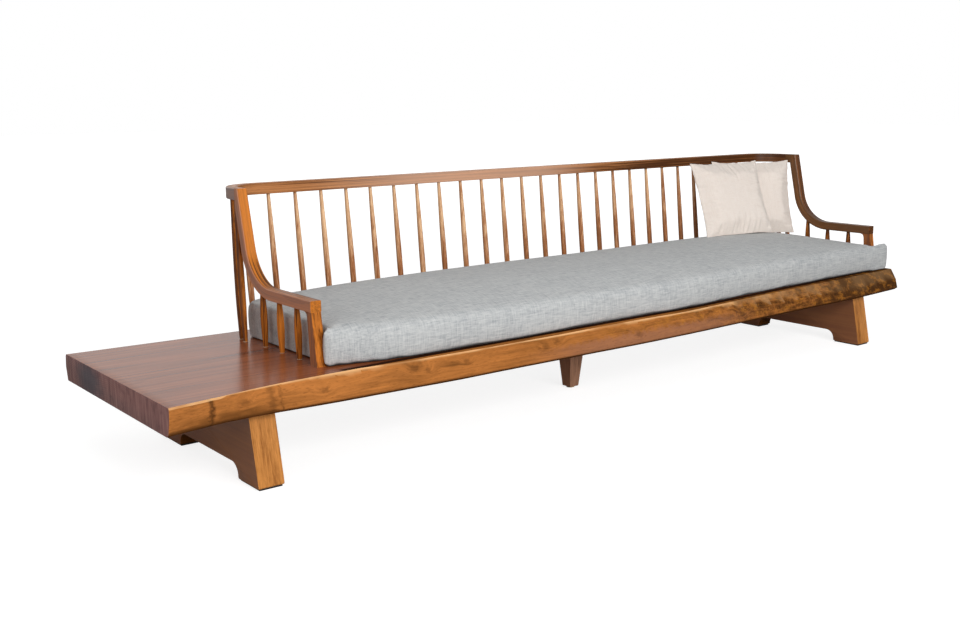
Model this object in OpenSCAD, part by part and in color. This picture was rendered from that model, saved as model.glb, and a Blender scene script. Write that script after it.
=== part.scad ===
// Long live-edge slab sofa: one solid wood slab on two plank legs and a centre leg,
// a spindle back and arms let into the slab, a box seat cushion and two loose pillows.
// Millimetres. +X runs along the sofa to the sitter's left, the front faces -Y and +Z is up.
// The origin is on the floor, under the middle of the slab.

/* [Slab] */
// Length of the slab from end to end
slab_len = 3500; // [3300:20:4200]
// Depth of the slab where it is widest
slab_depth = 812; // [780:4:900]
// Thickness of the slab
slab_t = 84; // [66:2:110]
// Height of the slab's top above the floor
deck_h = 302; // [270:2:360]
// Height of the undercut along the slab's lower front edge
undercut = 9; // [4:1:18]
// How far the undercut runs in under the slab
undercut_run = 12; // [4:1:30]
// Ease on the slab's upper edges
edge_ease = 5; // [2:1:10]
// How far the right end falls short at its front corner
end_skew = 40; // [0:2:80]
// How far the right end is cut back at its underside
end_under = 30; // [0:2:50]

/* [Legs] */
// Distance between the middles of the two plank legs
plank_span = 2886; // [2700:2:3000]
// Thickness of a plank leg
plank_t = 82; // [60:2:110]
// Depth of a plank leg at the floor
plank_foot = 690; // [600:10:760]
// How much shallower a plank leg is at its top, on each side
plank_flare = 44; // [0:2:80]
// How far the plank legs stand in front of the slab's middle
plank_fwd = 8; // [-20:2:30]
// Length of a plank leg's front foot
front_foot = 128; // [90:2:180]
// Length of a plank leg's rear foot
rear_foot = 156; // [90:2:180]
// Height of the arch between the feet
arch_h = 44; // [20:2:90]
// Radius of the arch's corners
arch_r = 38; // [10:2:60]
// Height of the pads and glides under the legs
pad_h = 5; // [3:1:10]
// How far a pad stays inside the foot above it
pad_inset = 5; // [2:1:15]
// Width of the square centre leg at its top
mid_leg_top = 82; // [60:2:110]
// Width of the square centre leg at its foot
mid_leg_foot = 42; // [30:2:60]
// How far the centre leg stands left of the slab's middle
mid_leg_left = 30; // [-60:5:60]
// How far the centre leg stands in front of the slab's middle
mid_leg_fwd = 60; // [0:5:120]
// Diameter of the centre leg's glide
glide_d = 30; // [20:1:38]
// Diameter of the tenon on the centre leg
mid_tenon_d = 32; // [20:1:50]
// Length of the tenon on the centre leg
mid_tenon_len = 46; // [30:2:56]
// Diameter of the dowels that hold the plank legs
leg_dowel_d = 20; // [12:1:30]
// Length of the dowels that hold the plank legs
leg_dowel_len = 90; // [60:5:110]

/* [Back and arms] */
// Distance between the middles of the two arms
arm_span = 2840; // [2600:2:3000]
// Distance from the right arm's middle to the slab's right end
right_margin = 127; // [80:1:230]
// Height of the crest rail's top above the floor
crest_top = 800; // [720:5:900]
// Height of the crest rail
crest_h = 38; // [30:1:56]
// Depth of the crest rail
crest_d = 36; // [30:1:50]
// Radius of the crest rail's corners, at its middle line
crest_r = 131; // [100:1:180]
// How far the crest rail's middle line stands behind the slab's middle
crest_back = 384; // [340:2:400]
// How far the crest rail reaches forward past its corners, to the arms
crest_stub = 27; // [20:1:36]
// Chamfer along the rails' edges
rail_ease = 2; // [1:1:9]
// Width of an arm
arm_w = 36; // [28:1:50]
// Thickness of an arm
arm_t = 35; // [28:1:46]
// Height of the armrest's top above the floor
armrest_top = 498; // [450:2:560]
// Radius of the bend between the armrest and the sweep up to the crest rail
arm_bend_r = 150; // [100:5:190]
// How far the sweep leans back from upright, in degrees
sweep_lean = 13; // [6:1:20]
// How far in front of the slab's middle the armrest ends
arm_front = 240; // [200:5:270]
// Where the left arm starts to bend up, behind the slab's middle
left_bend = 18; // [-30:2:30]
// Where the right arm starts to bend up, behind the slab's middle
right_bend = -14; // [-30:2:30]
// Width of a front post
post_w = 33; // [22:1:36]
// Depth of a front post at the slab
post_d = 38; // [30:1:50]
// Radius of the hollow between a front post and its armrest
post_fillet = 16; // [10:2:70]
// How far a front post leans forward from its armrest to the slab
post_lean = 24; // [0:1:30]
// Diameter of the dowels in the frame's joints
frame_dowel_d = 10; // [8:1:14]
// Length of the dowels between the crest rail and the arms
crest_dowel_len = 34; // [20:2:36]
// Length of the dowels in the front posts
post_dowel_len = 56; // [40:2:70]

/* [Spindles] */
// Spacing of the back spindles along the crest rail
back_pitch = 103; // [90:1:120]
// How far the back spindles' feet stand in front of their tops
back_lean = 50; // [30:2:60]
// How far the corner spindles' feet stand outside their tops
corner_splay = 14; // [0:1:24]
// Thickest diameter of a back spindle
back_belly_d = 21; // [16:1:28]
// Diameter of a back spindle at the slab
back_foot_d = 14; // [11:1:16]
// Diameter of a back spindle at the crest rail
back_head_d = 12; // [9:1:15]
// Height of the thickest part of a back spindle, as a share of its length
back_belly_at = 0.36; // [0.25:0.01:0.6]
// Spacing of the arm spindles along the armrest
arm_pitch = 110; // [85:1:112]
// How far the rearmost arm spindle stands behind the slab's middle, at its top
arm_first = 96; // [60:2:100]
// How far the arm spindles' feet stand in front of their tops
arm_lean = 6; // [0:1:20]
// Thickest diameter of an arm spindle
arm_belly_d = 23; // [16:1:28]
// Diameter of an arm spindle at its ends
arm_end_d = 15; // [10:1:16]
// Depth of the sockets in the slab
foot_depth = 44; // [30:2:56]
// Depth of the sockets in the crest rail and the arms
head_depth = 22; // [14:1:24]

/* [Cushion and pillows] */
// Thickness of the seat cushion at its edges
cushion_t = 118; // [80:2:160]
// Rise of the seat cushion's crown
cushion_crown = 42; // [10:1:60]
// Radius of the seat cushion's rounded edges
cushion_round = 26; // [16:2:36]
// Radius of the seat cushion's rear corners
cushion_corner = 50; // [30:5:90]
// How far the seat cushion stays behind the slab's front edge
cushion_reveal = 24; // [10:2:50]
// How far the seat cushion's front turns back at its left end
cushion_turn = 34; // [0:2:60]
// How far the seat cushion's front comes forward at its right end
cushion_reach = 14; // [0:2:20]
// Gap between the seat cushion and each arm
cushion_gap = 8; // [6:1:40]
// How far the seat cushion stands to the left between the arms
cushion_shift = 4; // [0:1:10]
// How far the seat cushion's left front corner reaches past its side
left_ear = 26; // [6:2:40]
// How far the seat cushion's right front corner reaches past its side, before the post
right_ear = 92; // [40:2:96]
// How far the seat cushion's front and back are drawn in
cushion_draw = 4; // [0:1:12]
// Width of a pillow
pillow_w = 404; // [360:2:480]
// Height of a pillow
pillow_h = 350; // [300:5:400]
// Thickness of a pillow
pillow_t = 96; // [70:2:130]
// How far a pillow's sides are drawn in between its corners
pillow_draw = 14; // [4:1:30]
// How far the corner pillow stays off the back
pillow_off = 3; // [0:1:20]
// How far the front pillow stands to the left of the corner one
pillow_left = 170; // [100:5:300]

/* [Fits] */
// Clearance all round each tenon and dowel
fit_gap = 0.1; // [0.05:0.05:0.3]
// Clearance at the bottom of each socket
end_gap = 0.5; // [0.2:0.1:2]
// Clearance between soft and hard pieces
soft_gap = 0.4; // [0.3:0.1:2]

/* [Hidden] */
BACK_N = 27;
ARM_N = 3;
$fn = 48;
EPS = 0.01;

half_len = slab_len / 2;
half_depth = slab_depth / 2;
under_h = deck_h - slab_t;
crest_under = crest_top - crest_h;
right_x = half_len - right_margin;
left_x = right_x - arm_span;
seat_mid = (left_x + right_x) / 2;

// The live edges of the slab. Each row is a station along it: the share of its length,
// then how far the front's upper edge, middle and lower edge and the rear stay inside
// the slab's full depth.
EDGE = [
    [0.000,   4,  8, 18,  0],
    [0.050,  26, 30, 46,  8],
    [0.085,  45, 38, 46, 14],
    [0.140,  54, 36, 30, 24],
    [0.180,  54, 32, 24, 28],
    [0.215,  39, 22, 18, 26],
    [0.270,  31, 14, 10, 22],
    [0.350,  23, 10,  9, 18],
    [0.500,  29,  8,  0, 24],
    [0.567,  22,  6,  2, 22],
    [0.630,  36, 14,  8, 16],
    [0.700,  56, 28, 18, 20],
    [0.800,  74, 42, 29, 14],
    [0.900,  92, 56, 34, 18],
    [1.000, 108, 76, 58, 26]];
MID_H = 0.52;

// One edge line at a share of the length, as a smooth cubic through the stations
function edge_row(s, i = 0) = (i >= len(EDGE) - 2 || EDGE[i + 1][0] > s) ? i : edge_row(s, i + 1);
function edge_at(i, c) = EDGE[min(max(i, 0), len(EDGE) - 1)][c];
function edge_slope(i, c) = (edge_at(i + 1, c) - edge_at(i - 1, c))
    / (edge_at(i + 1, 0) - edge_at(i - 1, 0));
function hermite(a, b, ma, mb, w, t) =
    (2 * pow(t, 3) - 3 * t * t + 1) * a + (pow(t, 3) - 2 * t * t + t) * w * ma
    + (3 * t * t - 2 * pow(t, 3)) * b + (pow(t, 3) - t * t) * w * mb;
function edge_in(s, c) =
    let (i = edge_row(s), w = edge_at(i + 1, 0) - edge_at(i, 0), t = (s - edge_at(i, 0)) / w)
    max(0, hermite(edge_at(i, c), edge_at(i + 1, c), edge_slope(i, c), edge_slope(i + 1, c), w, t));
function front_top_y(x) = edge_in(min(max((x + half_len) / slab_len, 0), 1), 1) - half_depth;

// The slab as rings of points across it. The last rings follow the skew of the right end.
SLAB_STEPS = 40;
REAR_TOP_IN = 5;
REAR_LOW_IN = 10;
function end_in(s, fwd, z) =
    pow(s, 3) * (end_skew * fwd / slab_depth + end_under * (deck_h - z) / slab_t);
function slab_ring(s) =
    let (f = -half_depth, r = half_depth - edge_in(s, 4), mid = under_h + slab_t * MID_H)
    [for (p = [
        [f + edge_in(s, 1) + edge_ease, deck_h],
        [f + edge_in(s, 1), deck_h - edge_ease],
        [f + edge_in(s, 2), mid],
        [f + edge_in(s, 3), under_h + undercut],
        [f + edge_in(s, 3) + undercut_run, under_h],
        [r - REAR_LOW_IN, under_h],
        [r, mid],
        [r - REAR_TOP_IN, deck_h - edge_ease],
        [r - REAR_TOP_IN - edge_ease, deck_h]])
        let(from_rear = max(0, r - REAR_TOP_IN - edge_ease - p[0]))
        [s * slab_len - half_len - end_in(s, from_rear, p[1]), p[0], p[1]]];

// Closes rings of points into one solid, with a fan at each end
module loft(rings) {
    n = len(rings[0]);
    m = len(rings);
    points = [for (r = rings) for (p = r) p];
    sides = [for (i = [0 : m - 2]) for (j = [0 : n - 1])
        let (a = i * n + j, b = i * n + (j + 1) % n)
        each [[a, b, b + n], [a, b + n, a + n]]];
    first = [for (j = [1 : n - 2]) [0, j + 1, j]];
    last = [for (j = [1 : n - 2]) [(m - 1) * n, (m - 1) * n + j, (m - 1) * n + j + 1]];
    polyhedron(points, concat(sides, first, last));
}

// Crest rail's middle line: its straight run and the rounded corners at its ends
corner_x = arm_span / 2 - crest_r;
corner_y = crest_back - crest_r;
function crest_y(x) = let (d = abs(x - seat_mid) - corner_x)
    (d <= 0) ? crest_back : corner_y + sqrt(crest_r * crest_r - d * d);
joint_y = corner_y - crest_stub;

// Where each spindle's top stands on that line
function back_x(i) = seat_mid + (i - (BACK_N + 1) / 2) * back_pitch;
CORNER_ANGLE = [20, 0];
function corner_top(side, i) = let (a = CORNER_ANGLE[i - 1])
    [seat_mid + side * (corner_x + crest_r * cos(a)), corner_y + crest_r * sin(a)];
function arm_x(side) = (side < 0) ? left_x : right_x;
function bend_y(side) = (side < 0) ? left_bend : right_bend;

// A turned spindle along +Z from its foot, swelling to its belly
function swell(t, at) = let (u = (t < at) ? t / at : (1 - t) / (1 - at)) sin(90 * u);
RING_STEPS = 12;
module turned(length, foot_d, belly_d, head_d, at, foot_in, head_in) {
    rotate_extrude($fn = 32)
        polygon(concat(
            [[0, -foot_in], [foot_d / 2, -foot_in]],
            [for (i = [0 : RING_STEPS]) let (t = i / RING_STEPS, base = (t < at) ? foot_d : head_d)
                [(base + (belly_d - base) * swell(t, at)) / 2, t * length]],
            [[head_d / 2, length + head_in], [0, length + head_in]]));
}

// Puts a piece that stands along +Z on the line from a foot to a top
module along(foot, top) {
    d = top - foot;
    translate(foot)
        rotate([0, 0, atan2(d[1], d[0])])
            rotate([0, atan2(norm([d[0], d[1]]), d[2]), 0])
                children();
}

// The foot and the top of each spindle, where its middle line meets the wood
function back_ends(p) = [[p[0], p[1] - back_lean, deck_h], [p[0], p[1], crest_under]];
function corner_ends(side, i) = let (e = back_ends(corner_top(side, i)))
    [e[0] + [side * corner_splay, 0, 0], e[1]];
function arm_under(side, y) = let (r = arm_bend_r + arm_t, d = y - bend_y(side))
    (d <= 0) ? armrest_top - arm_t : armrest_top + arm_bend_r - sqrt(r * r - d * d);
function arm_ends(side, i) = let (y = arm_first - (i - 1) * arm_pitch)
    [[arm_x(side), y - arm_lean, deck_h], [arm_x(side), y, arm_under(side, y - arm_end_d / 2 - 1)]];
BACKS = concat([for (i = [1 : BACK_N]) back_ends([back_x(i), crest_y(back_x(i))])],
    [for (s = [-1, 1]) for (i = [1 : 2]) corner_ends(s, i)]);
ARMS = [for (s = [-1, 1]) for (i = [1 : ARM_N]) arm_ends(s, i)];

module back_spindle(ends) {
    color("peru") along(ends[0], ends[1])
        turned(norm(ends[1] - ends[0]), back_foot_d, back_belly_d, back_head_d,
            back_belly_at, foot_depth, head_depth);
}
module arm_spindle(ends) {
    color("peru") along(ends[0], ends[1])
        turned(norm(ends[1] - ends[0]), arm_end_d, arm_belly_d, arm_end_d,
            0.5, foot_depth, head_depth);
}

// Sockets for the spindles, as true bores a little wider and deeper than the tenons
module foot_socket(ends, d) {
    along(ends[0], ends[1])
        translate([0, 0, -foot_depth - end_gap])
            cylinder(h = 2 * foot_depth, d = d + 2 * fit_gap);
}
module head_socket(ends, d) {
    along(ends[0], ends[1])
        translate([0, 0, norm(ends[1] - ends[0]) - head_depth])
            cylinder(h = 2 * head_depth + end_gap, d = d + 2 * fit_gap);
}

// The posts' feet on the slab and the places of the legs' joints under it
post_y = -arm_front - post_lean + post_d / 2;
function post_foot(side) = [arm_x(side), post_y, deck_h];
plank_mid_y = -plank_fwd;
DOWEL_PLACES = [-1, 0, 1];
dowel_step = (plank_foot - front_foot - rear_foot) / 2;
function dowel_y(k) = plank_mid_y + k * dowel_step;
mid_leg = [-mid_leg_left, -mid_leg_fwd, 0];

module slab() {
    color("chocolate") difference() {
        loft([for (i = [0 : SLAB_STEPS]) slab_ring(i / SLAB_STEPS)]);
        for (e = BACKS) foot_socket(e, back_foot_d);
        for (e = ARMS) foot_socket(e, arm_end_d);
        for (s = [-1, 1]) translate(post_foot(s) - [0, 0, post_dowel_len / 2 + end_gap])
            cylinder(h = post_dowel_len, d = frame_dowel_d + 2 * fit_gap);
        for (s = [-1, 1]) for (k = DOWEL_PLACES)
            translate([s * plank_span / 2, dowel_y(k), under_h - leg_dowel_len / 2])
                cylinder(h = leg_dowel_len + end_gap, d = leg_dowel_d + 2 * fit_gap);
        translate(mid_leg + [0, 0, under_h - mid_tenon_len])
            cylinder(h = 2 * mid_tenon_len + end_gap, d = mid_tenon_d + 2 * fit_gap);
    }
}

// A plank leg seen from the end: flared sides and a low arch between two feet
arch_front = front_foot - plank_foot / 2;
arch_rear = plank_foot / 2 - rear_foot;
module plank_profile() {
    half = plank_foot / 2;
    difference() {
        polygon([[-half, pad_h], [half, pad_h],
            [half - plank_flare, under_h], [plank_flare - half, under_h]]);
        translate([arch_front, 0]) square([arch_rear - arch_front, pad_h + arch_h - arch_r]);
        translate([arch_front + arch_r, 0])
            square([arch_rear - arch_front - 2 * arch_r, pad_h + arch_h]);
        for (y = [arch_front + arch_r, arch_rear - arch_r])
            translate([y, pad_h + arch_h - arch_r]) circle(r = arch_r);
    }
}
module plank_leg(side) {
    color("sienna") difference() {
        translate([side * plank_span / 2 - plank_t / 2, plank_mid_y, 0])
            rotate([90, 0, 90])
                linear_extrude(plank_t) plank_profile();
        for (k = DOWEL_PLACES)
            translate([side * plank_span / 2, dowel_y(k), under_h - leg_dowel_len / 2 - end_gap])
                cylinder(h = leg_dowel_len, d = leg_dowel_d + 2 * fit_gap);
    }
}
module plank_leg_dowels() {
    color("burlywood")
        for (s = [-1, 1]) for (k = DOWEL_PLACES)
            translate([s * plank_span / 2, dowel_y(k), under_h - leg_dowel_len / 2])
                cylinder(h = leg_dowel_len, d = leg_dowel_d);
}
module leg_pad(side, y, len) {
    translate([side * plank_span / 2, plank_mid_y + y, pad_h / 2])
        cube([plank_t - 2 * pad_inset, len - 2 * pad_inset, pad_h], center = true);
}
module leg_pads(side) {
    color("dimgray") {
        leg_pad(side, (front_foot - plank_foot) / 2, front_foot);
        leg_pad(side, (plank_foot - rear_foot) / 2, rear_foot);
    }
}
module centre_leg() {
    color("saddlebrown") union() {
        hull() {
            translate(mid_leg + [0, 0, under_h - 1])
                linear_extrude(1) square(mid_leg_top, center = true);
            translate(mid_leg + [0, 0, pad_h])
                linear_extrude(1) square(mid_leg_foot, center = true);
        }
        translate(mid_leg + [0, 0, under_h - EPS])
            cylinder(h = mid_tenon_len + EPS, d = mid_tenon_d);
    }
}
module centre_leg_glide() {
    color("wheat") translate(mid_leg) cylinder(h = pad_h, d = glide_d);
}

// A rail's section: a rectangle with its four long edges chamfered
module rail_section(w, h) {
    e = rail_ease;
    polygon([[-w / 2 + e, -h / 2], [w / 2 - e, -h / 2], [w / 2, -h / 2 + e], [w / 2, h / 2 - e],
        [w / 2 - e, h / 2], [-w / 2 + e, h / 2], [-w / 2, h / 2 - e], [-w / 2, -h / 2 + e]]);
}
module crest_bar() {
    z = crest_under + crest_h / 2;
    translate([seat_mid - corner_x, crest_back, z])
        rotate([90, 0, 90])
            linear_extrude(2 * corner_x) rail_section(crest_d, crest_h);
    for (s = [-1, 1]) translate([seat_mid + s * corner_x, corner_y, z]) {
        rotate([0, 0, (s > 0) ? 0 : 90])
            rotate_extrude(angle = 90, $fn = 96)
                translate([crest_r, 0]) rail_section(crest_d, crest_h);
        translate([s * crest_r, 0, 0]) rotate([90, 0, 0])
            linear_extrude(corner_y - joint_y) rail_section(crest_d, crest_h);
    }
}
module crest_dowel_at(side, clear = 0) {
    translate([arm_x(side), joint_y + crest_dowel_len / 2 + clear * end_gap, crest_under + crest_h / 2])
        rotate([90, 0, 0])
            cylinder(h = crest_dowel_len + 2 * clear * end_gap, d = frame_dowel_d + 2 * clear * fit_gap);
}
module crest_rail() {
    color("sienna") difference() {
        crest_bar();
        for (e = BACKS) head_socket(e, back_head_d);
        for (s = [-1, 1]) crest_dowel_at(s, 1);
    }
}
module crest_dowels() {
    color("burlywood") for (s = [-1, 1]) crest_dowel_at(s);
}

// An arm: the level armrest, its bend, the sweep up to the crest rail and the butt joint there.
// The sweep starts inside the bend and is a hair slimmer, so the two close cleanly.
SEAM_LAP = 4;
SEAM_STEP = 0.15;
module arm_bar(side) {
    r = arm_bend_r + arm_t / 2;
    turn = 90 - sweep_lean;
    level = arm_front + bend_y(side);
    rise = crest_top - armrest_top + arm_t;
    translate([arm_x(side), bend_y(side), armrest_top + arm_bend_r])
        rotate([90, 0, 90]) {
            rotate([0, 0, -90])
                rotate_extrude(angle = turn, $fn = 96)
                    translate([r, 0]) rail_section(arm_t, arm_w);
            translate([-level, -r]) rotate([90, 0, 90])
                linear_extrude(level) rail_section(arm_t, arm_w);
            rotate([0, 0, turn - 90]) translate([r, -SEAM_LAP]) rotate([-90, 0, 0])
                linear_extrude(rise) rail_section(arm_t - 2 * SEAM_STEP, arm_w - 2 * SEAM_STEP);
        }
}
sweep_slope = tan(sweep_lean);
function sweep_front_y(side, z) = bend_y(side) + arm_bend_r * cos(sweep_lean)
    + (z - armrest_top - arm_bend_r + arm_bend_r * sin(sweep_lean)) * sweep_slope;
module arm(side) {
    z = crest_under + crest_h / 2;
    head_y = sweep_front_y(side, crest_top) + arm_t / 2;
    color("sienna") difference() {
        union() {
            intersection() {
                arm_bar(side);
                translate([arm_x(side) - arm_w, -arm_front, armrest_top - arm_t])
                    cube([2 * arm_w, arm_front + joint_y, crest_top - armrest_top + arm_t]);
            }
            translate([arm_x(side), joint_y, z])
                rotate([90, 0, 0])
                    linear_extrude(joint_y - head_y) rail_section(arm_w, crest_h);
        }
        for (i = [1 : ARM_N]) head_socket(arm_ends(side, i), arm_end_d);
        crest_dowel_at(side, 1);
        armrest_dowel_at(side, 1);
    }
}
module armrest_dowel_at(side, clear = 0) {
    top = armrest_top - arm_t / 3;
    translate([arm_x(side), post_y + 0.75 * post_lean, top - post_dowel_len - clear * end_gap])
        cylinder(h = post_dowel_len + 2 * clear * end_gap, d = frame_dowel_d + 2 * clear * fit_gap);
}
module armrest_dowels() {
    color("burlywood") for (s = [-1, 1]) armrest_dowel_at(s);
}

// A front post from the side: it leans forward, with a hollow under the armrest
module post_profile() {
    top = armrest_top - arm_t;
    rear_foot = -arm_front - post_lean + post_d;
    rear_top = rear_foot + post_lean / 2;
    r = post_fillet;
    difference() {
        polygon([[-arm_front - post_lean, deck_h], [rear_foot, deck_h], [rear_top, top - r],
            [rear_top, top - r], [rear_top + r, top], [-arm_front, top]]);
        translate([rear_top + r, top - r]) circle(r = r - 1, $fn = 96);
    }
}
module front_post(side) {
    color("peru") difference() {
        union() {
            translate([arm_x(side) - post_w / 2, 0, 0])
                rotate([90, 0, 90])
                    linear_extrude(post_w) post_profile();
            translate(post_foot(side) - [0, 0, post_dowel_len / 2])
                cylinder(h = post_dowel_len / 2 + 1, d = frame_dowel_d);
        }
        armrest_dowel_at(side, 1);
    }
}

// The seat cushion's plan: its front follows the slab's edge and turns back at the left,
// its rear corners are round, and its front corners reach past its sides before the posts
cushion_half = (arm_span - arm_w) / 2 - cushion_gap;
cushion_mid = seat_mid - cushion_shift;
ear_back = -arm_front - post_lean - 2 * soft_gap;
cushion_z = deck_h + soft_gap;
cushion_rear = crest_back - back_lean - back_belly_d / 2 - 20;
TURN_RUN = 220;
function near_end(x, end) = pow(max(0, 1 - abs(x - end) / TURN_RUN), 1.6);
function cushion_front(x) = cushion_reveal + front_top_y(x)
    + cushion_turn * near_end(max(x, cushion_mid - cushion_half), cushion_mid - cushion_half)
    - cushion_reach * near_end(x, cushion_mid + cushion_half + right_ear);
function cushion_back(x) =
    let (r = cushion_corner, d = abs(x - cushion_mid) - cushion_half + r)
    cushion_rear - r + sqrt(max(0, r * r - pow(max(d, 0), 2)));
function crown_at(x) = cushion_crown * max(0, 1 - pow(abs(x - cushion_mid) / cushion_half, 5));

// The cushion's section at x: heights along its top as shares of the crown, edges rounded
TOP_LINE = [[0.12, 0.40], [0.30, 0.82], [0.5, 1], [0.7, 1], [0.88, 0.86]];
CUSHION_STEPS = 26;
function cushion_across(x, inset, front, rear) =
    let (t = cushion_t, lift = min(inset, t / 4),
         draw = cushion_draw * max(0, 1 - pow((x - cushion_mid) / cushion_half, 2)),
         f = front + inset + draw, b = rear - inset / 4 - draw, w = b - f,
         e = min(cushion_round, w / 3), k = e * (1 - cos(45)), c = crown_at(x), g = 0.6 * c)
    [for (p = concat(
        [[f + e, lift], [f + k, k + lift], [f, e + lift], [f - 3, t / 2], [f, t - e - lift],
         [f + k, t - k - lift], [f + e, t - lift]],
        [for (q = TOP_LINE) [f + e + q[0] * (w - 2 * e), t - lift + q[1] * c]],
        [[b - e, t - lift + g], [b - k, t - k - lift + g], [b, t - e - lift + g], [b + 2, t / 2],
         [b, e + lift], [b - k, k + lift], [b - e, lift]]))
        [x, p[0], cushion_z + p[1]]];
// Its front corners round in at their ends: each ring's inset and how far in it stands
EAR_STEPS = [[20, 0], [10, 3], [4, 9], [0, 18]];
function ear_in(ear, k) = (k > 3) ? ear - 1 : EAR_STEPS[k][1] * ear / (ear + 4);
function ear_ring(side, ear, k) =
    let (x = cushion_mid + side * (cushion_half + ear - ear_in(ear, k)))
    cushion_across(x, (k > 3) ? 0 : EAR_STEPS[k][0], cushion_front(x), ear_back);
// The body's stations: the rear corners by angle, and evenly between them
CORNER_STEPS = 4;
corner_runs = [for (i = [0 : CORNER_STEPS]) cushion_corner * (1 - cos(90 * i / CORNER_STEPS))];
body_steps = concat(
    [for (c = corner_runs) c - cushion_half],
    [for (i = [1 : CUSHION_STEPS - 1]) (cushion_half - cushion_corner) * (2 * i / CUSHION_STEPS - 1)],
    [for (i = [CORNER_STEPS : -1 : 0]) cushion_half - corner_runs[i]]);
module seat_cushion() {
    body = [for (u = body_steps)
        let (x = cushion_mid + u) cushion_across(x, 0, cushion_front(x), cushion_back(x))];
    rings = concat([for (k = [0 : 4]) ear_ring(-1, left_ear, k)], body,
        [for (k = [4 : -1 : 0]) ear_ring(1, right_ear, k)]);
    color("lightsteelblue") loft(rings);
}

// A pillow: two crowned faces that meet in a knife edge, drawn in between pointed corners.
// Across it u and v run from -1 to 1, and it stands upright on the middle of its lower edge.
PILLOW_STEPS = 10;
function pillow_fat(u, v) = (abs(u) >= 1 || abs(v) >= 1) ? 0
    : pillow_t / 2 * pow((1 - pow(abs(u), 2.4)) * (1 - pow(abs(v), 2.4)), 0.6);
function pillow_point(u, v, side) =
    [u * (pillow_w / 2 - pillow_draw * (1 - v * v)), side * pillow_fat(u, v),
     pillow_h / 2 + v * (pillow_h / 2 - pillow_draw * (1 - u * u))];
function grid(i) = 2 * i / PILLOW_STEPS - 1;
PILLOW_CLOUD = [for (i = [0 : PILLOW_STEPS]) for (j = [0 : PILLOW_STEPS]) for (b = [-1, 1])
    pillow_point(grid(i), grid(j), b)];

// How a pillow stands: leaning back, turned, then moved. seen_from undoes it.
function lean_back(p, a) = [p[0], p[1] * cos(a) + p[2] * sin(a), p[2] * cos(a) - p[1] * sin(a)];
function turned_by(p, a) = [p[0] * cos(a) - p[1] * sin(a), p[0] * sin(a) + p[1] * cos(a), p[2]];
function stood(p, pose) = turned_by(lean_back(p, pose[1]), pose[0]);
function seen_from(p, pose) = lean_back(turned_by(p, -pose[0]), -pose[1]);

// Height of the cushion's top at a place, read off its section
function top_rows(x) = let (r = cushion_across(x, 0, cushion_front(x), cushion_back(x)))
    [for (k = [4 : 14]) r[k]];
function seat_top(x, y, k = 0) = let (r = top_rows(x), n = len(r) - 2)
    (y > r[k + 1][1] && k < n) ? seat_top(x, y, k + 1)
    : r[k][2] + (r[k + 1][2] - r[k][2]) * (y - r[k][1]) / (r[k + 1][1] - r[k][1]);

// Front of the back spindles and of the crest rail at a height
function back_front(z) = min(crest_back - crest_d / 2,
    crest_back - back_lean * (crest_under - z) / (crest_under - deck_h) - back_belly_d / 2);

// The corner pillow leans into the corner between the back and the right arm, and the front
// pillow leans on the corner one. Both stand on the cushion.
CORNER_POSE = [-22, 14];
FRONT_POSE = [-7, 22];
seat_guess = cushion_z + cushion_t + cushion_crown / 2;
corner_cloud = [for (p = PILLOW_CLOUD) stood(p, CORNER_POSE)];
corner_px = min([for (p = corner_cloud) right_x - arm_w / 2 - p[0]]) - soft_gap;
corner_py = min([for (p = corner_cloud) back_front(seat_guess + p[2]) - p[1]]) - pillow_off;
corner_pz = max([for (p = corner_cloud) seat_top(corner_px + p[0], corner_py + p[1]) - p[2]]);
CORNER_AT = [corner_px, corner_py, corner_pz + soft_gap];
front_cloud = [for (p = PILLOW_CLOUD) stood(p, FRONT_POSE)];
front_px = corner_px - pillow_left;
lean_dir = stood([0, -1, 0], CORNER_POSE);
function into_corner(p) = let (q = seen_from(p - CORNER_AT, CORNER_POSE))
    q[1] + pillow_fat(2 * q[0] / pillow_w, 2 * q[2] / pillow_h - 1);
front_push = max([for (p = front_cloud) into_corner(p + [front_px, corner_py, corner_pz])]);
front_xy = [front_px, corner_py, 0] + (front_push + 4 * soft_gap) * lean_dir;
front_pz = max([for (p = front_cloud) seat_top(front_xy[0] + p[0], front_xy[1] + p[1]) - p[2]]);
FRONT_AT = [front_xy[0], front_xy[1], front_pz + soft_gap];

module pillow() {
    n = PILLOW_STEPS;
    inner = [for (j = [1 : n - 1]) for (i = [1 : n - 1]) [grid(i), grid(j)]];
    rim = concat([for (i = [0 : n]) [i, 0]], [for (j = [1 : n]) [n, j]],
        [for (i = [n - 1 : -1 : 0]) [i, n]], [for (j = [n - 1 : -1 : 1]) [0, j]]);
    m = len(rim);
    points = concat([for (g = rim) pillow_point(grid(g[0]), grid(g[1]), 0)],
        [for (b = [-1, 1]) for (g = inner) pillow_point(g[0], g[1], b)]);
    function index(i, j, back) =
        (j == 0) ? i : (i == n) ? n + j : (j == n) ? 3 * n - i : (i == 0) ? 4 * n - j
        : m + back * len(inner) + (j - 1) * (n - 1) + i - 1;
    faces = [for (j = [0 : n - 1]) for (i = [0 : n - 1]) for (b = [0, 1])
        let (p = index(i, j, b), q = index(i + 1, j, b), r = index(i + 1, j + 1, b),
             s = index(i, j + 1, b), even = (2 * i < n) == (2 * j < n))
        for (f = even ? [[p, s, r], [p, r, q]] : [[q, s, r], [p, s, q]])
        (b == 0) ? f : [f[2], f[1], f[0]]];
    polyhedron(points, faces);
}
module placed_pillow(at, pose) {
    color("linen") translate(at) rotate([0, 0, pose[0]]) rotate([-pose[1], 0, 0]) pillow();
}
module corner_pillow() { placed_pillow(CORNER_AT, CORNER_POSE); }
module front_pillow() { placed_pillow(FRONT_AT, FRONT_POSE); }

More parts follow.
